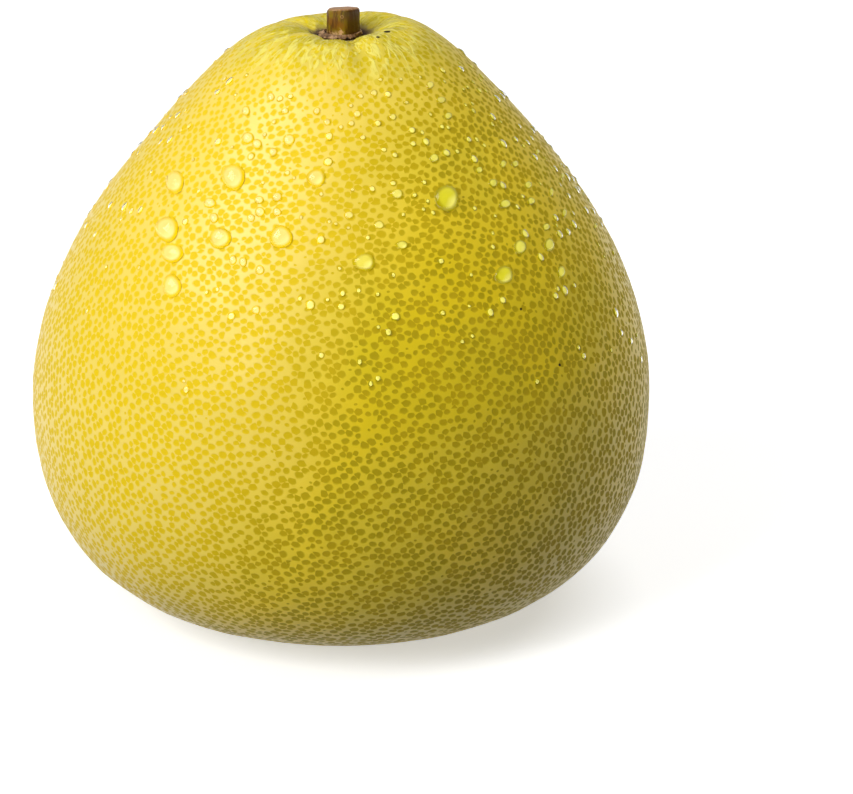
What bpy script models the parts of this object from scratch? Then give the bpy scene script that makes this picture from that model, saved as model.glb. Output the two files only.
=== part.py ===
"""A whole pear-shaped pomelo with its calyx and the stub of its stalk, at real size.

Metres, +Z up. The origin is the middle of the flat spot that the fruit rests on.
The front looks along -Y, and an azimuth is an angle about +Z, from the front towards +X.
"""

import math

import bmesh
import bpy
from mathutils import Vector
from mathutils.geometry import interpolate_bezier

# The fruit's driving sizes
WIDEST_RADIUS = 0.0775
WIDEST_HEIGHT = 0.0535
FOOT_RADIUS = 0.0240
CREST_RADIUS = 0.0150
CREST_HEIGHT = 0.1482
BASIN_DEPTH = 0.0030
SEAT_RADIUS = 0.0066

# The belly is one curve from the foot's edge to the widest place. These are the lengths of its two handles
FOOT_HANDLE = 0.0490
WIDEST_HANDLE = 0.0175

# The shoulder above it, each place as a share of the widest radius and of the crest's height
SHOULDER = (
    (0.970, 0.488),
    (0.877, 0.615),
    (0.742, 0.730),
    (0.583, 0.832),
    (0.426, 0.922),
    (0.303, 0.976),
)
BASIN_WALL_RADIUS = 0.0090
BASIN_WALL_DROP = 0.0011

# The faces are small round the stalk, where the creases are, and larger below
SEGMENTS = 90
BELLY_STEPS = 14
SHOULDER_STEP = 0.0064
CROWN_STEP = 0.0017
CROWN_SHARE = 0.90

# The neck leans a little to the right, and the lobes round the stalk stand to different heights
LEAN = 0.0010
LEAN_START = 0.045
LEAN_END = 0.125
RIM_WAVES = ((1, 0.0004, 80.0), (2, 0.0004, 100.0))
RIM_REACH = 0.030

# Swells round the body: how many, how far as a share of the radius, and the azimuth of the first in degrees
SWELLS = ((2, 0.0030, 60.0), (3, 0.0035, 60.0), (5, 0.0025, 72.0))

# Creases that run out from the stalk, and one low lobe at the front
# Azimuth in degrees, depth, reach from the axis and half width at the seat
CREASES = (
    (-64.0, 0.0020, 0.024, 0.0011),
    (-27.0, 0.0017, 0.017, 0.0011),
    (-8.0, 0.0009, 0.024, 0.0040),
    (11.0, 0.0016, 0.036, 0.0011),
    (73.0, 0.0018, 0.020, 0.0011),
    (122.0, 0.0012, 0.028, 0.0013),
    (171.0, 0.0015, 0.022, 0.0012),
    (-118.0, 0.0014, 0.030, 0.0013),
)
CREASE_SPREAD = 0.10
CREASE_START = 0.0030
PULL_HEIGHT = 0.110

# The stalk's stub, in a socket in the seat
STALK_RADIUS = 0.0040
STALK_HEIGHT = 0.0070
STALK_CUT_RISE_X = 0.04
STALK_CUT_RISE_Y = -0.14
STALK_FOOT_FLARE = 0.0004
STALK_FLARE_HEIGHT = 0.0022
STALK_EDGE = 0.0005
STALK_RIDGES = ((2, 0.03, 50.0), (5, 0.04, 10.0))
STALK_SEGMENTS = 30
STALK_STEP = 0.0011
SOCKET_DEPTH = 0.0022
CLEARANCE = 0.0003

# The calyx, a thin lobed collar round the stalk's foot
CALYX_LOBES = 5
CALYX_RADIUS = 0.0056
CALYX_LOBE_RISE = 0.0004
CALYX_FIRST_LOBE = 18.0
CALYX_THICKNESS = 0.0009
CALYX_EDGE_THICKNESS = 0.0006
CALYX_SEGMENTS = 40

RIND_COLOUR = (0.62, 0.50, 0.045, 1.0)
STALK_COLOUR = (0.13, 0.065, 0.008, 1.0)
CALYX_COLOUR = (0.17, 0.12, 0.035, 1.0)

SHARP_ANGLE = math.radians(40.0)
FULL_TURN = math.tau

seat_height = CREST_HEIGHT - BASIN_DEPTH
stalk_widest = STALK_RADIUS * (1.0 + sum(share for _, share, _ in STALK_RIDGES)) + STALK_FOOT_FLARE
socket_radius = stalk_widest + CLEARANCE


def smooth_step(low, high, value):
    """0 below low, 1 above high, and an even rise between them."""
    share = min(max((value - low) / (high - low), 0.0), 1.0)
    return share * share * (3.0 - 2.0 * share)


def waves(terms, azimuth):
    """The sum of some rounds of waves, each (count, height, azimuth of its first top in degrees)."""
    return sum(
        height * math.cos(count * (azimuth - math.radians(first)))
        for count, height, first in terms
    )


def curve_through(knots, start_way, end_way, step_at):
    """Points along one smooth curve through the knots, in steps of about step_at(a stretch's middle)."""
    ways = [start_way.normalized()]
    ways += [(after - before).normalized() for before, after in zip(knots, knots[2:])]
    ways.append(end_way.normalized())
    points = [knots[0]]
    for (first, way), (last, next_way) in zip(zip(knots, ways), zip(knots[1:], ways[1:])):
        length = (last - first).length
        steps = max(1, round(length / step_at((first + last) / 2.0)))
        handles = first + way * length / 3.0, last - next_way * length / 3.0
        points += interpolate_bezier(first, *handles, last, steps + 1)[1:]
    return points


def fruit_profile():
    """Half the outline of a cut through the fruit, from its foot's middle to its socket's middle."""
    foot = Vector((FOOT_RADIUS, 0.0, 0.0))
    widest = Vector((WIDEST_RADIUS, 0.0, WIDEST_HEIGHT))
    handles = foot + Vector((FOOT_HANDLE, 0.0, 0.0)), widest - Vector((0.0, 0.0, WIDEST_HANDLE))
    belly = interpolate_bezier(foot, *handles, widest, BELLY_STEPS + 1)

    knots = [widest]
    knots += [Vector((WIDEST_RADIUS * across, 0.0, CREST_HEIGHT * up)) for across, up in SHOULDER]
    knots.append(Vector((CREST_RADIUS, 0.0, CREST_HEIGHT)))
    knots.append(Vector((BASIN_WALL_RADIUS, 0.0, CREST_HEIGHT - BASIN_WALL_DROP)))
    knots.append(Vector((SEAT_RADIUS, 0.0, seat_height)))

    def step_at(place):
        return CROWN_STEP if place.z > CROWN_SHARE * CREST_HEIGHT else SHOULDER_STEP

    shoulder = curve_through(knots, Vector((0.0, 0.0, 1.0)), Vector((-1.0, 0.0, -0.3)), step_at)
    socket_floor = seat_height - SOCKET_DEPTH
    return [
        Vector((0.0, 0.0, 0.0)),
        *belly,
        *shoulder[1:],
        Vector((socket_radius, 0.0, seat_height)),
        Vector((socket_radius, 0.0, socket_floor)),
        Vector((0.0, 0.0, socket_floor)),
    ]


def turned(profile, segments):
    """A closed bmesh made by turning a profile, which starts and ends on the Z axis, once round that axis."""
    shape = bmesh.new()
    verts = [shape.verts.new(point) for point in profile]
    edges = [shape.edges.new(pair) for pair in zip(verts, verts[1:])]
    bmesh.ops.spin(
        shape,
        geom=verts + edges,
        cent=(0.0, 0.0, 0.0),
        axis=(0.0, 0.0, 1.0),
        angle=FULL_TURN,
        steps=segments,
        use_merge=True,
    )
    bmesh.ops.remove_doubles(shape, verts=shape.verts, dist=1e-6)
    bmesh.ops.recalc_face_normals(shape, faces=shape.faces)
    return shape


def azimuth_of(place):
    return math.atan2(place.x, -place.y)


def crease_depth(radius, azimuth):
    """How far the creases draw the skin in, near the stalk."""
    start = smooth_step(SEAT_RADIUS, SEAT_RADIUS + CREASE_START, radius)
    total = 0.0
    for degrees, depth, reach, half_width in CREASES:
        turn = math.remainder(azimuth - math.radians(degrees), FULL_TURN)
        spread = half_width + CREASE_SPREAD * (radius - SEAT_RADIUS)
        across = math.exp(-((radius * turn / spread) ** 2))
        total += depth * start * across * (1.0 - smooth_step(0.3 * reach, reach, radius))
    return total


def grown(place):
    """Where a point of the plain turned fruit lies on the real one, with its swells, creases and lean."""
    radius = math.hypot(place.x, place.y)
    azimuth = azimuth_of(place)
    height = place.z
    if radius > SEAT_RADIUS and height > 0.0:
        swell = waves(SWELLS, azimuth) * math.sin(math.pi * height / CREST_HEIGHT)
        moved = Vector((place.x * (1.0 + swell), place.y * (1.0 + swell), height))
        if height > PULL_HEIGHT:
            inward = (Vector((0.0, 0.0, PULL_HEIGHT)) - place).normalized()
            moved += inward * crease_depth(radius, azimuth)
            near_rim = smooth_step(SEAT_RADIUS, CREST_RADIUS, radius)
            near_rim *= 1.0 - smooth_step(CREST_RADIUS, RIM_REACH, radius)
            moved.z += waves(RIM_WAVES, azimuth) * near_rim
    else:
        moved = place.copy()
    moved.x += LEAN * smooth_step(LEAN_START, LEAN_END, height)
    return moved


def material(name, colour, roughness):
    """A Principled material of one colour."""
    made = bpy.data.materials.new(name)
    made.use_nodes = True
    shader = made.node_tree.nodes["Principled BSDF"]
    shader.inputs["Base Color"].default_value = colour
    shader.inputs["Roughness"].default_value = roughness
    shader.inputs["Metallic"].default_value = 0.0
    made.diffuse_color = colour
    return made


def finished(name, shape, skin, location=(0.0, 0.0, 0.0)):
    """An object made from a bmesh, shaded smooth but for its sharp edges."""
    mesh = bpy.data.meshes.new(name)
    shape.to_mesh(mesh)
    shape.free()
    mesh.shade_smooth()
    mesh.set_sharp_from_angle(angle=SHARP_ANGLE)
    mesh.materials.append(skin)
    made = bpy.data.objects.new(name, mesh)
    made.location = location
    bpy.context.scene.collection.objects.link(made)
    return made


def make_fruit():
    """The fruit itself, one solid, with a flat foot, a creased basin at the top and the stalk's socket."""
    shape = turned(fruit_profile(), SEGMENTS)
    for vert in shape.verts:
        vert.co = grown(vert.co)
    return finished("fruit", shape, material("rind", RIND_COLOUR, 0.42))


def make_stalk(top):
    """The cut stub of the stalk, ridged, wider at its foot, and standing in the socket of the fruit."""
    root = CLEARANCE - SOCKET_DEPTH
    knots = [
        Vector((STALK_RADIUS + STALK_FOOT_FLARE, 0.0, 0.0)),
        Vector((STALK_RADIUS, 0.0, STALK_FLARE_HEIGHT)),
        Vector((STALK_RADIUS, 0.0, STALK_HEIGHT - STALK_EDGE)),
    ]
    up = Vector((0.0, 0.0, 1.0))
    side = curve_through(knots, up, up, lambda place: STALK_STEP)
    profile = [
        Vector((0.0, 0.0, root)),
        Vector((STALK_RADIUS, 0.0, root)),
        *side,
        Vector((STALK_RADIUS - STALK_EDGE, 0.0, STALK_HEIGHT)),
        Vector((0.0, 0.0, STALK_HEIGHT)),
    ]
    shape = turned(profile, STALK_SEGMENTS)
    for vert in shape.verts:
        ridge = 1.0 + waves(STALK_RIDGES, azimuth_of(vert.co))
        vert.co.x *= ridge
        vert.co.y *= ridge
        cut_rise = STALK_CUT_RISE_X * vert.co.x + STALK_CUT_RISE_Y * vert.co.y
        vert.co.z += cut_rise * smooth_step(0.0, STALK_HEIGHT, vert.co.z)
    return finished("stalk", shape, material("stalk_wood", STALK_COLOUR, 0.6), top)


def make_calyx(top):
    """The calyx, a thin collar with short lobes, which lies on the seat round the stalk."""
    shape = bmesh.new()
    ring = bmesh.ops.create_circle(shape, segments=CALYX_SEGMENTS, radius=CALYX_RADIUS)["verts"]
    inner = bmesh.ops.create_circle(shape, segments=CALYX_SEGMENTS, radius=socket_radius)["verts"]
    for vert in ring:
        lobe = math.cos(CALYX_LOBES * (azimuth_of(vert.co) - math.radians(CALYX_FIRST_LOBE)))
        vert.co *= 1.0 + CALYX_LOBE_RISE * lobe / CALYX_RADIUS
    edges = list({edge for vert in ring + inner for edge in vert.link_edges})
    collar = bmesh.ops.bridge_loops(shape, edges=edges)["faces"]
    outer = set(ring)
    raised = bmesh.ops.extrude_face_region(shape, geom=collar, use_keep_orig=True)["geom"]
    upper = [item for item in raised if isinstance(item, bmesh.types.BMVert)]
    for vert in upper:
        on_rim = vert.co.length > (CALYX_RADIUS - CALYX_LOBE_RISE + socket_radius) / 2.0
        vert.co.z += CALYX_EDGE_THICKNESS if on_rim else CALYX_THICKNESS
    for vert in outer.union(inner, upper):
        vert.co.z += CLEARANCE
    bmesh.ops.recalc_face_normals(shape, faces=shape.faces)
    return finished("calyx", shape, material("calyx_skin", CALYX_COLOUR, 0.65), top)


def main():
    for old in list(bpy.data.objects):
        bpy.data.objects.remove(old)
    top = (LEAN, 0.0, seat_height)
    make_fruit()
    make_stalk(top)
    make_calyx(top)


main()
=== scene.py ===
"""The looks of a whole pear-shaped pomelo, wet with drops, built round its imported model.

Everything is in metres, +Z up. The front of the fruit looks along -Y, and an azimuth is an angle
about +Z, from the front towards +X. The fruit's outline, creases and stalk repeat the sizes of the
model's source, so that the fine skin lies on the plain solids.
"""

from __future__ import annotations

import logging
import math
from dataclasses import dataclass
from enum import Enum
from typing import Iterable, Sequence

import bmesh
import bpy
import numpy as np
from mathutils import Matrix, Vector, noise
from mathutils.bvhtree import BVHTree
from mathutils.geometry import interpolate_bezier


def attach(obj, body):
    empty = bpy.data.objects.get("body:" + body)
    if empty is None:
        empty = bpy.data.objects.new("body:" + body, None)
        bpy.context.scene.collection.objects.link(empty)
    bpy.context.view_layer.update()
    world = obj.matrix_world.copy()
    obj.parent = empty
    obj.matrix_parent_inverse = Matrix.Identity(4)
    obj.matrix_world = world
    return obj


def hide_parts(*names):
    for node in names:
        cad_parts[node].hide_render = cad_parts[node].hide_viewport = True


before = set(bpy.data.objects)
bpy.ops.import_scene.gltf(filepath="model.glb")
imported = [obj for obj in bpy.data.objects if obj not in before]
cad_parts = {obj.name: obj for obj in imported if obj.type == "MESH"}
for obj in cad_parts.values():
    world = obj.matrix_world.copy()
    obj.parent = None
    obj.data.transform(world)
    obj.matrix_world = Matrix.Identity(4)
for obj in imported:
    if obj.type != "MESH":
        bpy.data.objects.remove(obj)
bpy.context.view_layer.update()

LOG = logging.getLogger("pomelo")
BODY = "root"
UP = Vector((0.0, 0.0, 1.0))
FULL_TURN = math.tau
MILLIMETRE = 0.001
TOUCHING = 1e-6
GOLDEN_TURN = math.pi * (3.0 - math.sqrt(5.0))
WHITE = (1.0, 1.0, 1.0)
BLACK = (0.0, 0.0, 0.0)

Colour = tuple[float, float, float]
Span = tuple[float, float]
Waves = tuple[tuple[int, float, float], ...]
Numbers = np.ndarray | float
Layers = Sequence[bmesh.types.BMLayerItem]
Socket = bpy.types.NodeSocket
Value = float | Sequence[float] | Socket
Seat = tuple[Vector, Vector, Vector, Vector]


def smooth_step(low: float, high: float, value: Numbers) -> Numbers:
    """An even rise from 0 below low to 1 above high.

    Args:
        low: Where the rise starts.
        high: Where it ends.
        value: The number or numbers to judge.

    Returns:
        The share risen at each of them.
    """
    share = np.clip((value - low) / (high - low), 0.0, 1.0)
    return share * share * (3.0 - 2.0 * share)


def wave_sum(terms: Waves, azimuth: Numbers) -> Numbers:
    """The sum of some rounds of waves.

    Args:
        terms: For each, how many waves go round, their height, and the azimuth of the first top in degrees.
        azimuth: Where to read the sum, in radians.

    Returns:
        The height there.
    """
    return sum(height * np.cos(count * (azimuth - math.radians(first))) for count, height, first in terms)


def finished(
    name: str, shape: bmesh.types.BMesh, skin: bpy.types.Material, sharp: float = 40.0
) -> bpy.types.Object:
    """Makes an object from a bmesh and frees the bmesh.

    Args:
        name: The object's name.
        shape: Its mesh, in place.
        skin: Its material.
        sharp: Edges that bend by more than this many degrees stay sharp.

    Returns:
        The object, at the origin, unturned and unscaled.
    """
    mesh = bpy.data.meshes.new(name)
    shape.to_mesh(mesh)
    shape.free()
    mesh.shade_smooth()
    mesh.set_sharp_from_angle(angle=math.radians(sharp))
    mesh.materials.append(skin)
    made = bpy.data.objects.new(name, mesh)
    bpy.context.scene.collection.objects.link(made)
    return made


def turned(profile: Sequence[Vector], segments: int) -> bmesh.types.BMesh:
    """Turns a profile once round the Z axis.

    Args:
        profile: Points from the axis round to the axis again.
        segments: How many steps go round.

    Returns:
        The closed shape, with its faces pointing out.
    """
    shape = bmesh.new()
    verts = [shape.verts.new(point) for point in profile]
    edges = [shape.edges.new(pair) for pair in zip(verts, verts[1:])]
    bmesh.ops.spin(
        shape,
        geom=verts + edges,
        cent=(0.0, 0.0, 0.0),
        axis=UP,
        angle=FULL_TURN,
        steps=segments,
        use_merge=True,
    )
    bmesh.ops.remove_doubles(shape, verts=shape.verts, dist=TOUCHING)
    bmesh.ops.recalc_face_normals(shape, faces=shape.faces)
    return shape


def stand_for(piece: bpy.types.Object, slot: str, *nodes: str) -> bpy.types.Object:
    """Makes a piece ride on the fruit's body, in the place of some nodes.

    Args:
        piece: The finished piece.
        slot: A material slot's name; not used.
        nodes: The plain nodes that it stands for.

    Returns:
        The piece.
    """
    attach(piece, BODY)
    if nodes:
        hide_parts(*nodes)
    LOG.info("%s: %d faces", piece.name, len(piece.data.polygons))
    return piece


class Graph:
    """The node tree of one material, with short ways to add nodes and join them."""

    def __init__(self, name: str) -> None:
        """Starts a material with its Principled shader.

        Args:
            name: The material's name.
        """
        self.material = bpy.data.materials.new(name)
        self.material.use_nodes = True
        self.tree = self.material.node_tree
        self.shader = self.tree.nodes["Principled BSDF"]
        self.place = self.add("ShaderNodeTexCoord", output="Object")

    def feed(self, socket: Socket, value: Value) -> None:
        """Links a value in where it is another socket, and sets it otherwise.

        Args:
            socket: The input.
            value: What goes into it.
        """
        if isinstance(value, Socket):
            self.tree.links.new(value, socket)
        elif hasattr(value, "__len__") and len(value) == 3 and len(getattr(socket, "default_value", ())) == 4:
            socket.default_value = (*value, 1.0)
        else:
            socket.default_value = value

    def add(
        self,
        kind: str,
        inputs: dict[int | str, Value] | None = None,
        output: int | str = 0,
        **settings: object,
    ) -> Socket:
        """Adds a node.

        Args:
            kind: Its type.
            inputs: What goes into its sockets, by name or by place.
            output: The output that is wanted.
            settings: Its own settings, such as an operation.

        Returns:
            That output.
        """
        node = self.tree.nodes.new(kind)
        for name, value in settings.items():
            setattr(node, name, value)
        for key, value in (inputs or {}).items():
            self.feed(node.inputs[key], value)
        return node.outputs[output]

    def place_along(self, axis: str) -> Socket:
        """The piece's own coordinate along an axis."""
        return self.add("ShaderNodeSeparateXYZ", {0: self.place}, axis)

    def math(self, operation: str, *values: Value) -> Socket:
        """The result of a Math node's operation on some values."""
        return self.add("ShaderNodeMath", dict(enumerate(values)), operation=operation)

    def vector(self, operation: str, *values: Value, output: int | str = 0) -> Socket:
        """The result of a Vector Math node's operation on some vectors."""
        return self.add("ShaderNodeVectorMath", dict(enumerate(values)), output, operation=operation)

    def rise(
        self, value: Value, low: float, high: float, start: float = 0.0, end: float = 1.0
    ) -> Socket:
        """An even rise, or fall, of a value.

        Args:
            value: What is judged.
            low: Where the change starts, below high.
            high: Where it ends.
            start: The result below low.
            end: The result above high.

        Returns:
            The changed value.
        """
        inputs = {0: value, 1: low, 2: high, 3: start, 4: end}
        return self.add("ShaderNodeMapRange", inputs, interpolation_type="SMOOTHSTEP")

    def swayed(self, value: Value, grain: Value, swing: float) -> Socket:
        """A value that noise moves up and down.

        Args:
            value: The value.
            grain: The noise, from 0 to 1.
            swing: How far it moves the value from end to end.

        Returns:
            The moved value.
        """
        return self.math("MULTIPLY_ADD", self.math("SUBTRACT", grain, 0.5), swing, value)

    def grain(
        self,
        scale: float,
        detail: float = 2.0,
        rough: float = 0.5,
        along: Value | None = None,
        twist: float = 0.0,
    ) -> Socket:
        """Noise from 0 to 1 in the piece's own space.

        Args:
            scale: How many grains there are to the metre.
            detail: How many finer layers lie on it.
            rough: How strong those are.
            along: The coordinates to read it at, if not the piece's own.
            twist: How far it is distorted.

        Returns:
            The noise.
        """
        at = self.place if along is None else along
        inputs = {"Vector": at, "Scale": scale, "Detail": detail, "Roughness": rough, "Distortion": twist}
        return self.add("ShaderNodeTexNoise", inputs)

    def mix(self, factor: Value, first: Value, second: Value) -> Socket:
        """A colour between two, by a factor."""
        return self.add("ShaderNodeMix", {0: factor, 6: first, 7: second}, 2, data_type="RGBA")

    def attribute(self, name: str) -> Socket:
        """A number that the mesh holds at each point."""
        return self.add("ShaderNodeAttribute", output="Fac", attribute_name=name)

    def bump(
        self, height: Value, depth: float, strength: float, under: Value | None = None
    ) -> Socket:
        """A normal bent by a height.

        Args:
            height: The height, from 0 to 1.
            depth: What a height of 1 stands for, in metres.
            strength: How much of it shows.
            under: The normal that it is added to, if any.

        Returns:
            The bent normal.
        """
        inputs = {"Height": height, "Distance": depth, "Strength": strength}
        if under is not None:
            inputs["Normal"] = under
        return self.add("ShaderNodeBump", inputs)

    def dress(self, **sockets: Value) -> bpy.types.Material:
        """Sets some of the shader's own sockets.

        Args:
            sockets: What goes into each, by its name with _ for a space.

        Returns:
            The material.
        """
        for name, value in sockets.items():
            self.feed(self.shader.inputs[name.replace("_", " ")], value)
        return self.material


@dataclass(frozen=True)
class PaintedLitSide:
    """A painted lit side: the skin is paler there as painted light and sheen, left of the front and further
    round high up.

    Attributes:
        lean: How far right the side's edge moves for each metre of height.
        full: Where across the foot the painted light is full.
        start: Where across the foot it starts to be.
        patch_swing: How far patches move that edge.
    """

    lean: float = 0.45
    full: float = -0.066
    start: float = -0.026
    patch_scale: float = 34.0
    patch_swing: float = 0.03

    def share(self, graph: Graph) -> Socket:
        """How far each point lies in the painted lit side.

        Args:
            graph: The material that reads it.

        Returns:
            The share, from 0 to 1.
        """
        side = graph.swayed(graph.place_along("X"), graph.grain(self.patch_scale), self.patch_swing)
        side = graph.math("MULTIPLY_ADD", graph.place_along("Z"), -self.lean, side)
        return graph.rise(side, self.full, self.start, 1.0, 0.0)


@dataclass(frozen=True)
class RindFinish:
    """Waxy citrus skin: olive oil glands in a paler net, greener and streaked near the stalk, paler on a
    painted lit side.

    Attributes:
        axis_x: Where the stalk's axis stands across the fruit.
        crown_heights: The heights between which the crown starts.
        crown_radii: The distances from the axis between which it ends.
        spokes: How many streaks there are to each radian round the stalk.
        seat_radii: The distances from the axis between which the brown seat ends.
        seat_shade_radii: Those between which its near-black middle ends, painted shade round the stalk's
            foot.
        hugs_at: The way from the stalk in which the yellow skin comes closest.
        hug: How much closer it comes there.
    """

    net: Colour = (0.79, 0.585, 0.006)
    net_green: Colour = (0.74, 0.565, 0.010)
    net_lit: Colour = (0.84, 0.635, 0.100)
    gland: Colour = (0.50, 0.355, 0.0)
    gland_olive: Colour = (0.44, 0.33, 0.0)
    gland_lit: Colour = (0.78, 0.54, 0.0)
    crown_green: Colour = (0.42, 0.36, 0.0)
    crown_gold: Colour = (0.66, 0.52, 0.0)
    crown_pale: Colour = (0.82, 0.74, 0.16)
    seat_brown: Colour = (0.20, 0.13, 0.060)
    seat_shade: Colour = (0.030, 0.010, 0.008)
    scab: Colour = (0.022, 0.010, 0.002)
    painted_lit_side: PaintedLitSide = PaintedLitSide()
    patch_scale: float = 34.0
    blotch_scale: float = 150.0
    edge_scale: float = 1100.0
    pore_scale: float = 2600.0
    axis_x: float = 0.0010
    crown_heights: Span = (0.120, 0.138)
    crown_radii: Span = (0.010, 0.036)
    crown_share: float = 0.80
    spokes: float = 11.0
    spoke_waves: float = 180.0
    spoke_curl: float = 1.6
    seat_radii: Span = (0.0068, 0.0092)
    seat_shade_radii: Span = (0.0058, 0.0078)
    seat_wander: float = 0.0030
    seat_wander_scale: float = 420.0
    hugs_at: tuple[float, float, float] = (0.75, -0.66, 0.0)
    hug: float = 0.0018
    scab_ragged: float = 0.0005
    net_rough: float = 0.36
    gland_rough: float = 0.60
    dry_rough: float = 0.45
    net_coat: float = 0.30
    pore_depth: float = 0.00006
    dimple_depth: float = 0.00007
    streak_depth: float = 0.00010

    def build(self, scabs: Iterable[tuple[Vector, float]]) -> bpy.types.Material:
        """Makes the skin's material.

        Args:
            scabs: The middle and half the width of each dark scab.

        Returns:
            The material.
        """
        graph = Graph("rind")
        blotch, edge = graph.grain(self.blotch_scale), graph.grain(self.edge_scale)
        way = graph.add("ShaderNodeAttribute", output="Vector", attribute_name="gland_at")
        apart = graph.vector("LENGTH", way, output="Value")
        apart = graph.swayed(graph.swayed(apart, edge, 0.55), blotch, 0.35)
        gland = graph.rise(apart, 0.70, 1.20, 1.0, 0.0)
        sideways = graph.math("SUBTRACT", graph.place_along("X"), self.axis_x)
        flat = graph.add("ShaderNodeCombineXYZ", {0: sideways, 1: graph.place_along("Y")})
        upper = graph.rise(graph.place_along("Z"), *self.crown_heights)

        skin = self.glands(graph, gland, blotch)
        skin, streak = self.crown(graph, skin, blotch, flat, upper)
        skin, dry = self.seat(graph, skin, flat, upper)
        skin, dry = self.scabbed(graph, skin, dry, edge, scabs)

        rough = graph.rise(gland, 0.0, 1.0, self.net_rough, self.gland_rough)
        rough = graph.math("MULTIPLY_ADD", edge, 0.10, rough)
        coat = graph.rise(gland, 0.0, 1.0, self.net_coat, 0.0)
        pores = graph.bump(graph.grain(self.pore_scale, 3.0, 0.6), self.pore_depth, 0.6)
        dimples = graph.bump(graph.rise(apart, 0.5, 1.15), self.dimple_depth, 0.7, pores)
        return graph.dress(
            Base_Color=skin,
            Roughness=graph.math("MULTIPLY_ADD", dry, self.dry_rough, rough),
            Specular_IOR_Level=0.27,
            Normal=graph.bump(streak, self.streak_depth, 0.8, dimples),
            Coat_Weight=graph.math("MULTIPLY", coat, graph.math("SUBTRACT", 1.0, dry)),
            Coat_Roughness=0.30,
            Sheen_Weight=0.04,
            Sheen_Roughness=0.30,
        )

    def glands(self, graph: Graph, gland: Socket, blotch: Socket) -> Socket:
        """Colours the glands and the net between them, both paler on the painted lit side.

        Args:
            graph: The material.
            gland: How far each point lies in a gland, from 0 to 1.
            blotch: Noise that varies the glands.

        Returns:
            The skin's colour.
        """
        patch = graph.grain(self.patch_scale)
        net = graph.mix(graph.rise(patch, 0.40, 0.62), self.net, self.net_green)
        spot = graph.mix(graph.rise(blotch, 0.35, 0.65), self.gland, self.gland_olive)
        # Painted light and sheen: the net and the glands turn paler on the painted lit side.
        lit_share = self.painted_lit_side.share(graph)
        net = graph.mix(lit_share, net, self.net_lit)
        return graph.mix(gland, net, graph.mix(lit_share, spot, self.gland_lit))

    def crown(
        self, graph: Graph, skin: Socket, blotch: Socket, flat: Socket, upper: Socket
    ) -> tuple[Socket, Socket]:
        """Adds the greener crown and its pale streaks, which run out from the stalk.

        Args:
            graph: The material.
            skin: The skin's colour.
            blotch: Noise that varies the crown.
            flat: The level way from the stalk's axis.
            upper: How far each point lies in the fruit's top, from 0 to 1.

        Returns:
            The skin's new colour, and how far each point lies in a streak.
        """
        radius = graph.vector("LENGTH", flat, output="Value")
        spoke = graph.vector("MULTIPLY", graph.vector("NORMALIZE", flat), (self.spokes, self.spokes, 0.0))
        outwards = graph.add("ShaderNodeCombineXYZ", {2: graph.math("MULTIPLY", radius, self.spoke_waves)})
        streak = graph.grain(1.0, along=graph.vector("ADD", spoke, outwards), twist=self.spoke_curl)
        near = graph.math("MULTIPLY", upper, graph.rise(radius, *self.crown_radii, 1.0, 0.0))
        crown = graph.mix(graph.rise(blotch, 0.38, 0.60), self.crown_green, self.crown_gold)
        skin = graph.mix(graph.math("MULTIPLY", near, self.crown_share), skin, crown)
        streak = graph.math("MULTIPLY", graph.rise(streak, 0.48, 0.62), graph.rise(near, 0.05, 0.5))
        to_back = graph.rise(graph.place_along("Y"), -0.012, 0.008, 0.75, 0.40)
        return graph.mix(graph.math("MULTIPLY", streak, to_back), skin, self.crown_pale), streak

    def seat(self, graph: Graph, skin: Socket, flat: Socket, upper: Socket) -> tuple[Socket, Socket]:
        """Adds the dry brown seat round the stalk's foot, whose near-black middle is painted shade.

        Args:
            graph: The material.
            skin: The skin's colour.
            flat: The level way from the stalk's axis.
            upper: How far each point lies in the fruit's top, from 0 to 1.

        Returns:
            The skin's new colour, and how far each point lies in the seat.
        """
        hugging = graph.vector("DOT_PRODUCT", graph.vector("NORMALIZE", flat), self.hugs_at, output="Value")
        closer = graph.rise(hugging, 0.3, 0.9, 0.0, self.hug)
        closer = graph.swayed(closer, graph.grain(self.seat_wander_scale), self.seat_wander)
        radius = graph.math("ADD", graph.vector("LENGTH", flat, output="Value"), closer)
        seat = graph.math("MULTIPLY", upper, graph.rise(radius, *self.seat_radii, 1.0, 0.0))
        # Painted shade: next to the stalk's foot the brown seat darkens to near black.
        brown = graph.mix(graph.rise(radius, *self.seat_shade_radii), self.seat_shade, self.seat_brown)
        return graph.mix(seat, skin, brown), seat

    def scabbed(
        self, graph: Graph, skin: Socket, dry: Socket, edge: Socket, scabs: Iterable[tuple[Vector, float]]
    ) -> tuple[Socket, Socket]:
        """Adds the dark scabs.

        Args:
            graph: The material.
            skin: The skin's colour.
            dry: How dry each point is, from 0 to 1.
            edge: Noise that makes their edges ragged.
            scabs: The middle and half the width of each.

        Returns:
            The skin's new colour, and how dry each point is with them.
        """
        for middle, half_width in scabs:
            away = graph.vector("DISTANCE", graph.place, tuple(middle), output="Value")
            away = graph.swayed(away, edge, self.scab_ragged)
            scab = graph.rise(away, 0.75 * half_width, 1.15 * half_width, 1.0, 0.0)
            skin = graph.mix(scab, skin, self.scab)
            dry = graph.math("MAXIMUM", dry, scab)
        return skin, dry


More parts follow.
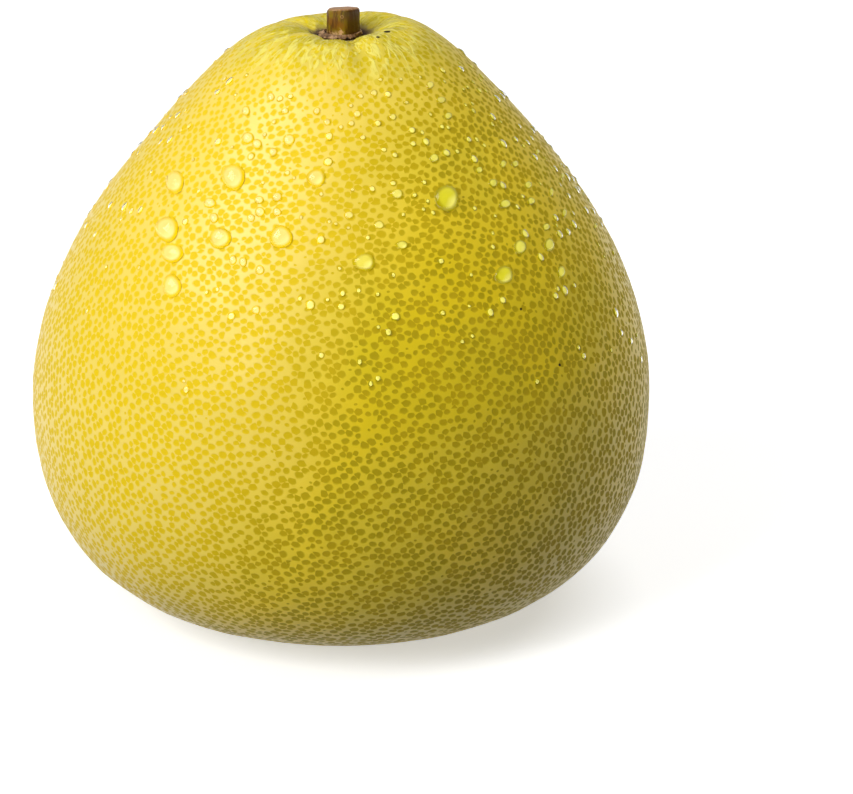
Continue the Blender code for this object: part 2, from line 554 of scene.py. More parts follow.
@dataclass(frozen=True)
class BarkFinish:
    """Dry bark of the cut stalk: brown, olive mid, dark reddish at the sides, on the right as painted shade,
    with a pale worn foot.

    Attributes:
        axis_x: Where the stalk's axis stands across the fruit.
        worn_height: How far up its foot is worn.
        ring_at: Where the ring mark stands across the front, and its height.
    """

    dark: Colour = (0.050, 0.020, 0.002)
    brown: Colour = (0.20, 0.080, 0.006)
    olive: Colour = (0.23, 0.155, 0.002)
    red_and_shade: Colour = (0.055, 0.014, 0.001)
    pale: Colour = (0.52, 0.30, 0.13)
    cut: Colour = (0.30, 0.13, 0.045)
    axis_x: float = 0.0010
    foot_height: float = 0.1458
    worn_height: float = 0.0048
    cut_height: float = 0.1514
    cut_edge: float = 0.0012
    ring_at: Span = (0.0008, 0.1508)
    ring_radius: float = 0.00034
    streak_scale: float = 900.0
    streak_length: float = 0.22
    patch_scale: float = 300.0
    fleck_scale: float = 1900.0
    groove_depth: float = 0.00030
    fleck_depth: float = 0.00006

    def build(self) -> bpy.types.Material:
        """Makes the bark's material.

        Returns:
            The material.
        """
        graph = Graph("stalk_wood")
        stretched = graph.vector("MULTIPLY", graph.place, (1.0, 1.0, self.streak_length))
        streak = graph.grain(self.streak_scale, 3.0, 0.55, stretched, 0.3)
        fleck = graph.grain(self.fleck_scale, 3.0, 0.6)
        across = graph.math("SUBTRACT", graph.place_along("X"), self.axis_x)
        bark = self.sides(graph, streak, across)
        bark = self.worn_foot(graph, bark, streak, fleck, across)
        bark = self.ring_mark(graph, bark)
        grooves = graph.bump(streak, self.groove_depth, 0.8)
        return graph.dress(
            Base_Color=self.cut_end(graph, bark, fleck),
            Roughness=graph.rise(fleck, 0.3, 0.7, 0.28, 0.50),
            Normal=graph.bump(fleck, self.fleck_depth, 0.6, grooves),
            Specular_IOR_Level=0.35,
        )

    def sides(self, graph: Graph, streak: Socket, across: Socket) -> Socket:
        """Colours the bark round the stalk, with painted shade on its right side.

        Args:
            graph: The material.
            streak: Noise drawn out along the stalk.
            across: How far right of the axis each point is.

        Returns:
            The bark's colour.
        """
        patch = graph.grain(self.patch_scale)
        bark = graph.mix(graph.rise(patch, 0.40, 0.58), self.brown, self.olive)
        bark = graph.mix(graph.rise(streak, 0.36, 0.54, 0.8, 0.0), bark, self.dark)
        # Painted shade: the right side darkens to dark reddish; the left edge's dark reddish tone is the
        # bark's own.
        right = graph.rise(graph.math("MULTIPLY_ADD", patch, 0.0030, across), 0.0012, 0.0038, 0.0, 0.85)
        left = graph.rise(graph.math("MULTIPLY_ADD", streak, 0.0012, across), -0.0038, -0.0024, 0.85, 0.0)
        return graph.mix(graph.math("MAXIMUM", left, right), bark, self.red_and_shade)

    def worn_foot(self, graph: Graph, bark: Socket, streak: Socket, fleck: Socket, across: Socket) -> Socket:
        """Adds pale scratches low on the stalk, more of them on the left.

        Args:
            graph: The material.
            bark: The bark's colour.
            streak: Noise drawn out along the stalk.
            fleck: Fine noise.
            across: How far right of the axis each point is.

        Returns:
            The bark's new colour.
        """
        height = graph.place_along("Z")
        low = graph.rise(height, self.foot_height, self.foot_height + self.worn_height, 1.0, 0.0)
        worn = graph.math("MULTIPLY", low, graph.rise(across, -0.0010, 0.0022, 0.24, 0.06))
        worn = graph.math("MULTIPLY_ADD", streak, 0.55, worn)
        worn = graph.math("MULTIPLY_ADD", fleck, 0.35, worn)
        return graph.mix(graph.rise(worn, 0.64, 0.72), bark, self.pale)

    def ring_mark(self, graph: Graph, bark: Socket) -> Socket:
        """Adds the small pale ring on the front of the bark.

        Args:
            graph: The material.
            bark: The bark's colour.

        Returns:
            The bark's new colour.
        """
        upright = graph.vector("MULTIPLY", graph.place, (1.0, 0.0, 1.0))
        middle = self.ring_at[0], 0.0, self.ring_at[1]
        away = graph.vector("DISTANCE", upright, middle, output="Value")
        ring = graph.math("ABSOLUTE", graph.math("SUBTRACT", away, self.ring_radius))
        ring = graph.rise(ring, 0.00004, 0.00018, 0.4, 0.0)
        in_front = graph.math("LESS_THAN", graph.place_along("Y"), 0.0)
        return graph.mix(graph.math("MULTIPLY", ring, in_front), bark, self.pale)

    def cut_end(self, graph: Graph, bark: Socket, fleck: Socket) -> Socket:
        """Adds the paler cut end.

        Args:
            graph: The material.
            bark: The bark's colour.
            fleck: Fine noise.

        Returns:
            The bark's new colour.
        """
        normal = graph.add("ShaderNodeNewGeometry", output="Normal")
        facing = graph.add("ShaderNodeSeparateXYZ", {0: normal}, "Z")
        high = graph.rise(graph.place_along("Z"), self.cut_height - self.cut_edge, self.cut_height)
        top = graph.math("MULTIPLY", graph.rise(facing, 0.35, 0.85), high)
        cut = graph.mix(graph.rise(fleck, 0.35, 0.70), self.cut, self.pale)
        return graph.mix(graph.math("MULTIPLY", top, 0.85), bark, cut)


@dataclass(frozen=True)
class CalyxFinish:
    """The dry calyx: pinkish brown, paler on its torn edges."""

    dark: Colour = (0.060, 0.026, 0.010)
    brown: Colour = (0.20, 0.10, 0.035)
    pink: Colour = (0.50, 0.30, 0.15)
    patch_scale: float = 420.0
    fleck_scale: float = 1800.0
    fleck_depth: float = 0.00012

    def build(self) -> bpy.types.Material:
        """Makes the calyx's material.

        Returns:
            The material.
        """
        graph = Graph("calyx_skin")
        fleck = graph.grain(self.fleck_scale, 3.0, 0.6)
        tone = graph.math("MULTIPLY", graph.grain(self.patch_scale), 0.65)
        tone = graph.math("ADD", tone, graph.math("MULTIPLY", fleck, 0.35))
        colour = graph.mix(graph.rise(tone, 0.40, 0.50), self.dark, self.brown)
        return graph.dress(
            Base_Color=graph.mix(graph.rise(tone, 0.50, 0.60), colour, self.pink),
            Roughness=graph.rise(fleck, 0.3, 0.7, 0.5, 0.7),
            Normal=graph.bump(fleck, self.fleck_depth, 0.8),
        )


@dataclass(frozen=True)
class WaterFinish:
    """Clear water over the lit skin under it, which darkens at the rim of a drop as painted shade and
    brightens in a painted caustic glow.

    Attributes:
        floor: The skin under a drop.
        glow: The same brightened where the drop gathers light, a painted caustic.
        rim: The same darkened round the drop's edge, as painted shade.
        shine_span: How much the surface mirrors away from the glow and in it.
    """

    clear: Colour = WHITE
    floor: Colour = (0.70, 0.63, 0.02)
    floor_lit: Colour = (0.82, 0.64, 0.17)
    glow: Colour = (0.96, 0.88, 0.22)
    glow_lit: Colour = (0.86, 0.70, 0.25)
    rim: Colour = (0.44, 0.36, 0.0)
    rim_lit: Colour = (0.78, 0.525, 0.0)
    painted_lit_side: PaintedLitSide = PaintedLitSide()
    floor_rough: float = 0.7
    index: float = 1.12
    shine_index: float = 1.333
    shine_rough: float = 0.08
    shine_span: Span = (1.0, 0.3)

    def build(self) -> bpy.types.Material:
        """Makes the water's material.

        Returns:
            The material.
        """
        graph = Graph("water")
        # Painted light: on the painted lit side the floor, its glow and its rim turn paler or more golden.
        lit_share = self.painted_lit_side.share(graph)
        lit = graph.attribute("glow")
        floor = graph.mix(lit_share, self.floor, self.floor_lit)
        # Painted caustic: the floor brightens to the glow colour where the drop is marked lit.
        floor = graph.mix(lit, floor, graph.mix(lit_share, self.glow, self.glow_lit))
        # Painted shade: the floor darkens to the rim colour round the drop's edge.
        floor = graph.mix(graph.attribute("rim"), floor, graph.mix(lit_share, self.rim, self.rim_lit))
        under = graph.attribute("under")
        through = graph.math("SUBTRACT", 1.0, under)
        return graph.dress(
            Base_Color=graph.mix(under, self.clear, floor),
            Roughness=graph.rise(under, 0.0, 1.0, 0.0, self.floor_rough),
            IOR=self.index,
            Transmission_Weight=through,
            Coat_Weight=graph.math("MULTIPLY", through, graph.rise(lit, 0.3, 0.8, *self.shine_span)),
            Coat_IOR=self.shine_index,
            Coat_Roughness=self.shine_rough,
        )


@dataclass(frozen=True)
class PhotoCamera:
    """The camera that the photograph was taken with, as its outline of the fruit gives it.

    Attributes:
        elevation: Degrees above the horizontal, seen from the target.
        distance: Metres from the target.
        target_height: The height of the target, on the fruit's axis.
        focal_pixels: The focal length, in pixels of the frame.
        target_pixel: Where the target is in the frame.
        frame_pixels: The frame's width and height.
    """

    elevation: float = 17.5
    distance: float = 0.9
    target_height: float = 0.075
    focal_pixels: float = 3582.0
    target_pixel: Span = (341.7, 309.0)
    frame_pixels: tuple[int, int] = (853, 794)
    sensor_width: float = 36.0

    @property
    def place(self) -> Vector:
        """Works out where the camera stands.

        Returns:
            Its place.
        """
        tilt = math.radians(self.elevation)
        back, up = self.distance * math.cos(tilt), self.distance * math.sin(tilt)
        return Vector((0.0, -back, self.target_height + up))

    @property
    def matrix(self) -> Matrix:
        """Works out how the camera stands, with the target at its own pixel and not in the middle.

        Returns:
            Its place and turn.
        """
        across = (self.frame_pixels[0] / 2.0 - self.target_pixel[0]) / self.focal_pixels
        down = (self.frame_pixels[1] / 2.0 - self.target_pixel[1]) / self.focal_pixels
        pitch = math.radians(self.elevation) + math.atan(down)
        yaw = math.atan(across / math.cos(pitch))
        turn = Matrix.Rotation(-yaw, 4, "Z") @ Matrix.Rotation(math.pi / 2.0 - pitch, 4, "X")
        return Matrix.Translation(self.place) @ turn

    def way(self, x: float, y: float) -> Vector:
        """The direction in which the camera sees a pixel.

        Args:
            x: The pixel's place across the frame.
            y: Its place down the frame.

        Returns:
            The direction, one long.
        """
        across = (x - self.frame_pixels[0] / 2.0) / self.focal_pixels
        up = (self.frame_pixels[1] / 2.0 - y) / self.focal_pixels
        return (self.matrix.to_3x3() @ Vector((across, up, -1.0))).normalized()

    def cast(self, skin: BVHTree, x: float, y: float) -> tuple[Vector, Vector] | None:
        """Finds the skin behind a pixel.

        Args:
            skin: The skin.
            x: The pixel's place across the frame.
            y: Its place down the frame.

        Returns:
            The point that the pixel shows and the skin's normal there, or None.
        """
        place, normal, _, _ = skin.ray_cast(self.place, self.way(x, y))
        return None if place is None else (place, normal)

    def build(self) -> None:
        """Makes the scene's camera."""
        data = bpy.data.cameras.new("camera")
        data.sensor_width = self.sensor_width
        data.lens = self.focal_pixels * self.sensor_width / self.frame_pixels[0]
        data.clip_start = 0.01
        made = bpy.data.objects.new("camera", data)
        made.matrix_world = self.matrix
        bpy.context.scene.collection.objects.link(made)
        bpy.context.scene.camera = made


CAMERA = PhotoCamera()


@dataclass(frozen=True)
class Scab:
    """A dark scab that the photograph shows on the skin.

    Attributes:
        x: Its pixel across the frame.
        y: Its pixel down the frame.
        half_width: Half its width, in metres.
    """

    x: float
    y: float
    half_width: float


SCABS = (
    Scab(387.0, 31.5, 0.00085),
    Scab(378.0, 37.0, 0.00055),
    Scab(560.0, 365.0, 0.00042),
    Scab(521.0, 309.0, 0.00030),
)


@dataclass(frozen=True)
class Crease:
    """A crease that runs out from the stalk.

    Attributes:
        azimuth: Its azimuth in degrees.
        depth: How deep it is.
        reach: How far from the axis it ends.
        half_width: Half its width at the seat.
    """

    azimuth: float
    depth: float
    reach: float
    half_width: float


@dataclass(frozen=True)
class FruitForm:
    """The fruit's outline, and the rules that swell, crease and lean it."""

    widest_radius: float = 0.0775
    widest_height: float = 0.0535
    foot_radius: float = 0.0240
    crest_radius: float = 0.0150
    crest_height: float = 0.1482
    basin_depth: float = 0.0030
    seat_radius: float = 0.0066
    foot_handle: float = 0.0490
    widest_handle: float = 0.0175
    shoulder: tuple[Span, ...] = (
        (0.970, 0.488),
        (0.877, 0.615),
        (0.742, 0.730),
        (0.583, 0.832),
        (0.426, 0.922),
        (0.303, 0.976),
    )
    basin_wall_radius: float = 0.0090
    basin_wall_drop: float = 0.0011
    seat_way: tuple[float, float, float] = (-1.0, 0.0, -0.3)
    socket_radius: float = 0.00498
    socket_depth: float = 0.0022
    lean: float = 0.0010
    lean_start: float = 0.045
    lean_end: float = 0.125
    rim_waves: Waves = ((1, 0.0004, 80.0), (2, 0.0004, 100.0))
    rim_reach: float = 0.030
    swells: Waves = ((2, 0.0030, 60.0), (3, 0.0035, 60.0), (5, 0.0025, 72.0))
    creases: tuple[Crease, ...] = (
        Crease(-64.0, 0.0020, 0.024, 0.0011),
        Crease(-27.0, 0.0017, 0.017, 0.0011),
        Crease(-8.0, 0.0009, 0.024, 0.0040),
        Crease(11.0, 0.0016, 0.036, 0.0011),
        Crease(73.0, 0.0018, 0.020, 0.0011),
        Crease(122.0, 0.0012, 0.028, 0.0013),
        Crease(171.0, 0.0015, 0.022, 0.0012),
        Crease(-118.0, 0.0014, 0.030, 0.0013),
    )
    crease_spread: float = 0.10
    crease_start: float = 0.0030
    crease_fade: float = 0.3
    pull_height: float = 0.110
    fine_step: float = 0.0004
    pole_radius: float = 0.0001
    pole_steps: int = 60

    @property
    def seat_height(self) -> float:
        """The height of the seat that the stalk stands on."""
        return self.crest_height - self.basin_depth

    @property
    def top(self) -> Vector:
        """The middle of the seat."""
        return Vector((self.lean, 0.0, self.seat_height))

    def shoulder_points(self) -> list[Vector]:
        """Lays points close together along one smooth curve.

        Returns:
            The points, from the widest place to the seat.
        """
        knots = [(self.widest_radius, self.widest_height)]
        knots += [(self.widest_radius * across, self.crest_height * up) for across, up in self.shoulder]
        knots.append((self.crest_radius, self.crest_height))
        knots.append((self.basin_wall_radius, self.crest_height - self.basin_wall_drop))
        knots.append((self.seat_radius, self.seat_height))
        places = [Vector((across, 0.0, up)) for across, up in knots]
        ways = [UP]
        ways += [(after - before).normalized() for before, after in zip(places, places[2:])]
        ways.append(Vector(self.seat_way).normalized())
        points = [places[0]]
        for (first, way), (last, next_way) in zip(zip(places, ways), zip(places[1:], ways[1:])):
            length = (last - first).length
            handles = first + way * length / 3.0, last - next_way * length / 3.0
            points += interpolate_bezier(first, *handles, last, round(length / self.fine_step) + 1)[1:]
        return points

    def outline(self) -> np.ndarray:
        """Half the outline of the plain turned fruit.

        Returns:
            Radius and height of its points, from the middle of the foot to that of the socket.
        """
        foot = Vector((self.foot_radius, 0.0, 0.0))
        widest = Vector((self.widest_radius, 0.0, self.widest_height))
        handles = foot + Vector((self.foot_handle, 0.0, 0.0)), widest - Vector((0.0, 0.0, self.widest_handle))
        belly = interpolate_bezier(foot, *handles, widest, round(self.widest_radius / self.fine_step))
        sides = [(point.x, point.z) for point in (*belly, *self.shoulder_points()[1:])]
        floor_height = self.seat_height - self.socket_depth
        inwards = np.geomspace(self.pole_radius, self.foot_radius, self.pole_steps)[:-1]
        socket = np.geomspace(self.socket_radius, self.pole_radius, self.pole_steps)
        return np.array(
            [(radius, 0.0) for radius in inwards]
            + sides
            + [(self.socket_radius, self.seat_height)]
            + [(radius, floor_height) for radius in socket]
        )

    def drawn_in(self, radius: np.ndarray, azimuth: np.ndarray, creases: Iterable[Crease]) -> np.ndarray:
        """How far some creases draw the skin in.

        Args:
            radius: The distance from the axis, at each point.
            azimuth: The azimuth of each point, in radians.
            creases: The creases.

        Returns:
            The depth at each point.
        """
        start = smooth_step(self.seat_radius, self.seat_radius + self.crease_start, radius)
        total = np.zeros_like(radius)
        for crease in creases:
            turn = np.remainder(azimuth - math.radians(crease.azimuth) + math.pi, FULL_TURN) - math.pi
            spread = crease.half_width + self.crease_spread * np.maximum(radius - self.seat_radius, 0.0)
            across = np.exp(-((radius * turn / spread) ** 2))
            ending = smooth_step(self.crease_fade * crease.reach, crease.reach, radius)
            total += crease.depth * start * across * (1.0 - ending)
        return total

    def grown(
        self, radius: np.ndarray, height: np.ndarray, azimuth: np.ndarray, fine: Iterable[Crease] = ()
    ) -> np.ndarray:
        """Where points of the plain turned fruit lie on the real one.

        Args:
            radius: The distance of each point from the axis.
            height: Its height.
            azimuth: Its azimuth, in radians.
            fine: Wrinkles to add to the creases.

        Returns:
            The places, one row for each point.
        """
        place = np.stack([radius * np.sin(azimuth), -radius * np.cos(azimuth), height], axis=1)
        moved = place.copy()
        outside = (radius > self.seat_radius) & (height > 0.0)
        swell = wave_sum(self.swells, azimuth) * np.sin(np.pi * height / self.crest_height)
        moved[outside, :2] *= 1.0 + swell[outside, None]
        upper = outside & (height > self.pull_height)
        inward = np.array([0.0, 0.0, self.pull_height]) - place
        inward /= np.maximum(np.linalg.norm(inward, axis=1), 1e-9)[:, None]
        depth = self.drawn_in(radius, azimuth, (*self.creases, *fine))
        moved[upper] += inward[upper] * depth[upper, None]
        near_rim = smooth_step(self.seat_radius, self.crest_radius, radius)
        near_rim *= 1.0 - smooth_step(self.crest_radius, self.rim_reach, radius)
        moved[upper, 2] += (wave_sum(self.rim_waves, azimuth) * near_rim)[upper]
        moved[:, 0] += self.lean * smooth_step(self.lean_start, self.lean_end, height)
        return moved


@dataclass(frozen=True)
class BallMap:
    """The plain fruit laid out on a ball without a change of angles, point by point along its outline.

    Attributes:
        radius: The distance of each point from the fruit's axis.
        height: Its height.
        polar: Its polar angle on the ball, from the foot.
        crowding: How much closer the glands stand, between each point and the next.
        weight: The skin's area up to each point, with the crown counted for more.
    """

    radius: np.ndarray
    height: np.ndarray
    polar: np.ndarray
    crowding: np.ndarray
    weight: np.ndarray


@dataclass
class Rind:
    """The fruit's skin: a closed mesh with a point at the middle of each oil gland, pitted there.

    Attributes:
        gland_area: The area of skin to each gland.
        gland_limits: The least and the greatest radius, as shares of the usual one.
        tiny_share: How many of the glands are tiny.
        jitter: How far glands stray from even places, as a share of their spacing.
        shortest: The length of the roundest glands, as a share of their width.
        longer: How much more than that others have.
        crown_longer: How much more those on the crown have.
        long_heights: The heights between which the long glands of the crown start.
        upright_from: How far to the side the skin looks where its glands stand upright.
        turned_by: How much the way of a gland varies, in radians.
        net_shares: The least share of the way where glands meet, and the share where none is near.
        crown_density: How much closer the glands stand on the crown.
        bare_radius: How far from the axis the glands end.
        ease: The distance in which hills and ripples fade out at the foot and the seat.
    """

    form: FruitForm
    finish: RindFinish
    gland_area: float = 4.35e-6
    gland_radius: float = 0.00098
    gland_spread: float = 0.18
    gland_limits: Span = (0.55, 1.22)
    tiny_share: float = 0.03
    tiny_size: float = 0.35
    jitter: float = 0.30
    shortest: float = 1.10
    longer: float = 0.50
    crown_longer: float = 0.6
    long_heights: Span = (0.126, 0.138)
    long_from: float = 0.3
    upright_from: float = 0.62
    upright_swing: float = 0.08
    turned_by: float = 0.35
    net_shares: Span = (1.1, 2.0)
    crown_density: float = 1.3
    crown_heights: Span = (0.12, 0.135)
    crown_reach: float = 0.022
    bare_radius: float = 0.0082
    ring_points: int = 64
    pit_depth: float = 0.00010
    hill_height: float = 0.00022
    hill_scale: float = 70.0
    ripple_height: float = 0.00007
    ripple_scale: float = 240.0
    ripple_from: float = 0.0015
    ease: float = 0.004
    wrinkles: int = 26
    wrinkle_stray: float = 0.4
    wrinkle_depths: Span = (0.00015, 0.00050)
    wrinkle_reaches: Span = (0.012, 0.030)
    wrinkle_half_widths: Span = (0.0006, 0.0010)
    scar_radius: float = 0.0032
    scar_depth: float = 0.0006
    seed: int = 7

    def build(self) -> BVHTree:
        """Builds and dresses the skin.

        Returns:
            Its smooth surface, without the glands' pits, for casting rays at.
        """
        draw = np.random.default_rng(self.seed)
        ball = self.ball_map()
        shape = self.meshed_ball(ball, draw)
        self.wrap(shape, ball, draw)
        self.ripple(shape)
        shape.normal_update()
        smooth_skin = BVHTree.FromBMesh(shape)
        self.pit(shape)
        piece = finished("rind", shape, self.finish.build(self.scabs(smooth_skin)))
        self.lay_glands(piece.data, draw)
        stand_for(piece, "rind", "fruit")
        return smooth_skin

    def ball_map(self) -> BallMap:
        """Lays the fruit's outline out on a ball.

        Returns:
            The outline's points, with their place on the ball.
        """
        radius, height = self.form.outline().T
        run = np.hypot(np.diff(radius), np.diff(height))
        middle = (radius[1:] + radius[:-1]) / 2.0
        spun = np.concatenate([[0.0], np.cumsum(run / middle)])
        polar = 2.0 * np.arctan(np.exp(spun - spun[np.argmax(radius)]))
        upper = smooth_step(*self.crown_heights, (height[1:] + height[:-1]) / 2.0)
        near = 1.0 - smooth_step(0.5 * self.crown_reach, self.crown_reach, middle)
        crowding = 1.0 + self.crown_density * upper * near
        weight = np.concatenate([[0.0], np.cumsum(FULL_TURN * middle * run * crowding)])
        return BallMap(radius, height, polar, crowding, weight)

    def gland_places(self, ball: BallMap, last: float, draw: np.random.Generator) -> np.ndarray:
        """The middles of the glands, spread evenly over the skin and then jittered.

        Args:
            ball: The outline on the ball.
            last: The weight at which the glands end, at the basin.
            draw: The random generator.

        Returns:
            Polar angle and azimuth of each gland on the ball.
        """
        count = round(last / self.gland_area)
        index = np.arange(count)
        reach = (index + 0.5) * self.gland_area
        azimuth = index * GOLDEN_TURN
        polar = np.interp(reach, ball.weight, ball.polar)
        band = np.interp(reach, ball.weight, np.gradient(ball.weight, ball.polar))
        spacing = np.sqrt(self.gland_area / band * np.sin(polar) * FULL_TURN)
        step = spacing / np.maximum(np.sin(polar), 1e-4)
        polar = polar + draw.uniform(-self.jitter, self.jitter, count) * step * np.sin(polar)
        azimuth = azimuth + draw.uniform(-self.jitter, self.jitter, count) * step
        return np.stack([np.clip(polar, 0.01, math.pi), azimuth], axis=1)

    def ball_points(self, ball: BallMap, draw: np.random.Generator) -> tuple[np.ndarray, int]:
        """The points of the mesh on the ball: the glands, rings round the seat and the socket, and the poles.

        Args:
            ball: The outline on the ball.
            draw: The random generator.

        Returns:
            Polar angle and azimuth of each point, and how many of the first are glands.
        """
        in_basin = np.arange(len(ball.radius)) > np.argmax(ball.radius)
        bare = int(np.argmax(in_basin & (ball.radius < self.bare_radius)))
        seat = int(np.argmax(in_basin & (ball.radius <= self.form.seat_radius + TOUCHING)))
        socket_rim, floor_edge = seat + 1, seat + 2
        floor_middle = floor_edge + self.form.pole_steps // 6
        glands = self.gland_places(ball, float(ball.weight[bare]), draw)
        rings = []
        for turn, at in enumerate(((bare + seat) // 2, seat, socket_rim, floor_edge, floor_middle)):
            angles = (np.arange(self.ring_points) + turn / 2.0) * FULL_TURN / self.ring_points
            rings.append(np.stack([np.full(self.ring_points, ball.polar[at]), angles], axis=1))
        return np.concatenate([glands, *rings, [[0.0, 0.0], [math.pi, 0.0]]]), len(glands)

    def meshed_ball(self, ball: BallMap, draw: np.random.Generator) -> bmesh.types.BMesh:
        """Makes the hull of the points on the ball and cuts each of its triangles in four.

        Args:
            ball: The outline on the ball.
            draw: The random generator.

        Returns:
            The ball, with the radius of the gland that a point is the middle of, or 0, as its gland layer.
        """
        points, glands = self.ball_points(ball, draw)
        polar, azimuth = points.T
        round_ways = np.sin(azimuth), -np.cos(azimuth)
        places = np.stack([*(np.sin(polar) * way for way in round_ways), -np.cos(polar)], axis=1)
        reach = np.clip(draw.normal(1.0, self.gland_spread, len(places)), *self.gland_limits)
        reach[draw.random(len(places)) < self.tiny_share] = self.tiny_size
        between = (ball.polar[1:] + ball.polar[:-1]) / 2.0
        reach *= self.gland_radius / np.sqrt(np.interp(polar, between, ball.crowding))
        reach[glands:] = 0.0

        shape = bmesh.new()
        gland_layer = shape.verts.layers.float.new("gland")
        for place, value in zip(places, reach):
            vert = shape.verts.new(place)
            vert[gland_layer] = value
        hull = bmesh.ops.convex_hull(shape, input=shape.verts[:])
        lost = [item for item in hull["geom_interior"] if isinstance(item, bmesh.types.BMVert)]
        bmesh.ops.delete(shape, geom=lost, context="VERTS")
        split = bmesh.ops.subdivide_edges(shape, edges=shape.edges[:], cuts=1, use_grid_fill=True)
        for item in split["geom_split"]:
            if isinstance(item, bmesh.types.BMVert):
                item[gland_layer] = 0.0
        return shape

    def wrap(self, shape: bmesh.types.BMesh, ball: BallMap, draw: np.random.Generator) -> None:
        """Moves the points of the ball to the fruit, with its creases and fine wrinkles.

        Args:
            shape: The ball.
            ball: The outline on the ball.
            draw: The random generator.
        """
        on_ball = np.array([vert.co for vert in shape.verts])
        on_ball /= np.linalg.norm(on_ball, axis=1)[:, None]
        polar = np.arctan2(np.hypot(on_ball[:, 0], on_ball[:, 1]), -on_ball[:, 2])
        azimuth = np.arctan2(on_ball[:, 0], -on_ball[:, 1])
        radius = np.interp(polar, ball.polar, ball.radius)
        height = np.interp(polar, ball.polar, ball.height)
        radius[(polar < ball.polar[0]) | (polar > ball.polar[-1])] = 0.0
        places = self.form.grown(radius, height, azimuth, self.fine_wrinkles(draw))
        for vert, place in zip(shape.verts, places):
            vert.co = place
        bmesh.ops.recalc_face_normals(shape, faces=shape.faces)
        shape.normal_update()

    def fine_wrinkles(self, draw: np.random.Generator) -> list[Crease]:
        """Wrinkles that run out from the stalk between the creases.

        Args:
            draw: The random generator.

        Returns:
            The wrinkles.
        """
        stray = self.wrinkle_stray
        return [
            Crease(
                azimuth=360.0 * (index + draw.uniform(-stray, stray)) / self.wrinkles,
                depth=draw.uniform(*self.wrinkle_depths),
                reach=draw.uniform(*self.wrinkle_reaches),
                half_width=draw.uniform(*self.wrinkle_half_widths),
            )
            for index in range(self.wrinkles)
        ]

    def ripple(self, shape: bmesh.types.BMesh) -> None:
        """Gives the skin low hills and shallow ripples, and a scar in the middle of its foot.

        Args:
            shape: The skin, with its normals up to date.
        """
        seat = self.form.seat_radius
        for vert in shape.verts:
            place = vert.co
            outwards = math.hypot(place.x, place.y)
            if place.z < TOUCHING:
                share = min(outwards / self.scar_radius, 1.0)
                vert.co.z += self.scar_depth * (1.0 - share * share) ** 2
                continue
            if outwards < seat + self.ripple_from:
                continue
            rise = self.hill_height * noise.noise(place * self.hill_scale)
            rise += self.ripple_height * noise.noise(place * self.ripple_scale)
            ease = min(place.z / self.ease, 1.0) * min((outwards - seat) / self.ease, 1.0)
            vert.co += vert.normal * rise * ease
            vert.co.z = max(vert.co.z, 0.0)

    def pit(self, shape: bmesh.types.BMesh) -> None:
        """Sinks each gland a little.

        Args:
            shape: The skin, with its normals up to date.
        """
        gland_layer = shape.verts.layers.float["gland"]
        for vert in shape.verts:
            if vert.co.z > TOUCHING:
                vert.co -= vert.normal * self.pit_depth * vert[gland_layer] / self.gland_radius
                vert.co.z = max(vert.co.z, 0.0)

    def scabs(self, skin: BVHTree) -> list[tuple[Vector, float]]:
        """Finds the dark scabs on the skin.

        Args:
            skin: The smooth skin.

        Returns:
            The middle and half the width of each.
        """
        hits = [(CAMERA.cast(skin, scab.x, scab.y), scab.half_width) for scab in SCABS]
        return [(hit[0], half_width) for hit, half_width in hits if hit is not None]

    def gland_ways(self, place: np.ndarray, draw: np.random.Generator) -> tuple[np.ndarray, np.ndarray]:
        """The way in which a gland is longer: out on the crown, upright at the sides, or roughly level.

        Args:
            place: The skin's points.
            draw: The random generator.

        Returns:
            The way of a gland at each point, and its length as a share of its width.
        """
        up, count = np.array(UP), len(place)
        out = place * (1.0, 1.0, 0.0)
        out /= np.maximum(np.linalg.norm(out, axis=1), 1e-9)[:, None]
        level = np.cross(up, out)
        crown = smooth_step(*self.long_heights, place[:, 2])
        turn = draw.normal(0.0, self.turned_by, count)[:, None]
        way_out = out * np.cos(turn) + level * np.sin(turn)
        way_up = up * np.cos(turn) + level * np.sin(turn)
        way_round = level * np.cos(turn) + up * np.sin(turn)
        at_side = np.abs(out[:, 0]) + draw.normal(0.0, self.upright_swing, count) > self.upright_from
        lower = np.where(at_side[:, None], way_up, way_round)
        way = np.where(crown[:, None] > self.long_from, way_out, lower)
        return way, self.shortest + self.longer * draw.random(count) + self.crown_longer * crown

    def lay_glands(self, mesh: bpy.types.Mesh, draw: np.random.Generator) -> None:
        """Gives each face's corners their way from the middle of the gland there, as a share of its reach.

        That share is 1 long on the gland's edge. A face has one gland's middle at most, and one with none
        takes the mean share where glands meet.

        Args:
            mesh: The skin.
            draw: The random generator.
        """
        count = len(mesh.vertices)
        place = np.empty(3 * count, np.float32)
        mesh.vertices.foreach_get("co", place)
        place = place.reshape(-1, 3).astype(float)
        reach = np.empty(count, np.float32)
        mesh.attributes["gland"].data.foreach_get("value", reach)
        corners = np.empty(len(mesh.loops), np.int32)
        mesh.loops.foreach_get("vertex_index", corners)
        corners = corners.reshape(-1, 3)
        way, longer = self.gland_ways(place, draw)

